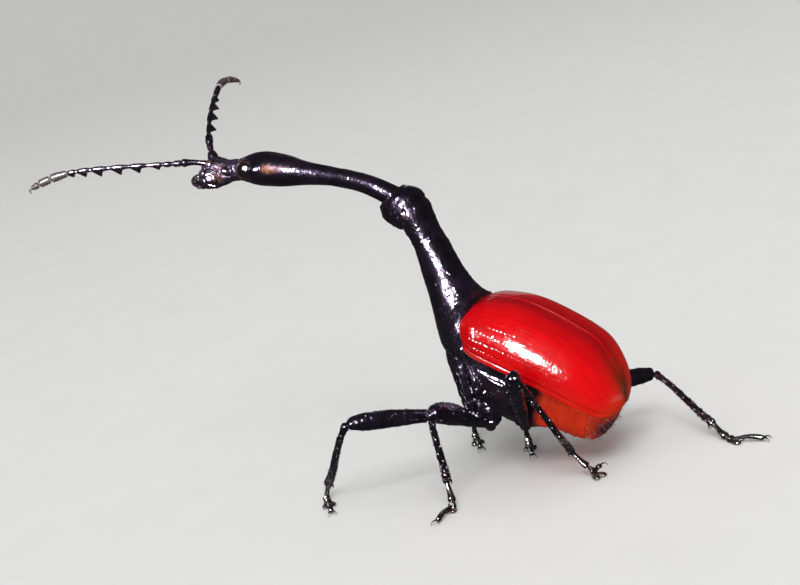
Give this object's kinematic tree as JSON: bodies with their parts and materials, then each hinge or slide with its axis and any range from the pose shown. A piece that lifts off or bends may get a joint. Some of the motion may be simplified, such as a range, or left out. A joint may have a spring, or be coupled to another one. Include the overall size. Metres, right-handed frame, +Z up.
{
  "type": "giraffe weevil display model",
  "caption": "Life-size still model of a male giraffe weevil: very long jointed neck, glossy black body, rounded red wing cases, bent legs on flat soles.",
  "frame": {"origin": "centre of the bounding box's underside, at the level of the soles", "axes": "+Z up; the head looks towards -Y; the animal's left side is +X"},
  "size_m": [0.014, 0.0306, 0.0186],
  "materials": {
    "cuticle": "wet gloss",
    "elytra": "wet gloss",
    "belly": "satin gloss",
    "pygidium": "satin gloss",
    "eye": "wet gloss",
    "feeler": "satin gloss",
    "tarsus": "satin gloss"
  },
  "bodies": {
    "root": {"abdomen": "belly", "club_left": "feeler", "club_right": "feeler", "coxa_front_left": "cuticle", "coxa_front_right": "cuticle", "coxa_hind_left": "cuticle", "coxa_hind_right": "cuticle", "coxa_mid_left": "cuticle", "coxa_mid_right": "cuticle", "elytron_left": "elytra", "elytron_right": "elytra", "eye_left": "eye", "eye_right": "eye", "femur_front_left": "cuticle", "femur_front_right": "cuticle", "femur_hind_left": "cuticle", "femur_hind_right": "cuticle", "femur_mid_left": "cuticle", "femur_mid_right": "cuticle", "funicle_left": "feeler", "funicle_right": "feeler", "head": "cuticle", "mandible_left": "cuticle", "mandible_right": "cuticle", "mesothorax": "cuticle", "metathorax": "cuticle", "neck": "cuticle", "prothorax": "cuticle", "pygidium": "pygidium", "rostrum": "cuticle", "scape_left": "feeler", "scape_right": "feeler", "tarsus_front_left": "tarsus", "tarsus_front_right": "tarsus", "tarsus_hind_left": "tarsus", "tarsus_hind_right": "tarsus", "tarsus_mid_left": "tarsus", "tarsus_mid_right": "tarsus", "tibia_front_left": "cuticle", "tibia_front_right": "cuticle", "tibia_hind_left": "cuticle", "tibia_hind_right": "cuticle", "tibia_mid_left": "cuticle", "tibia_mid_right": "cuticle"}
  },
  "joints": []
}
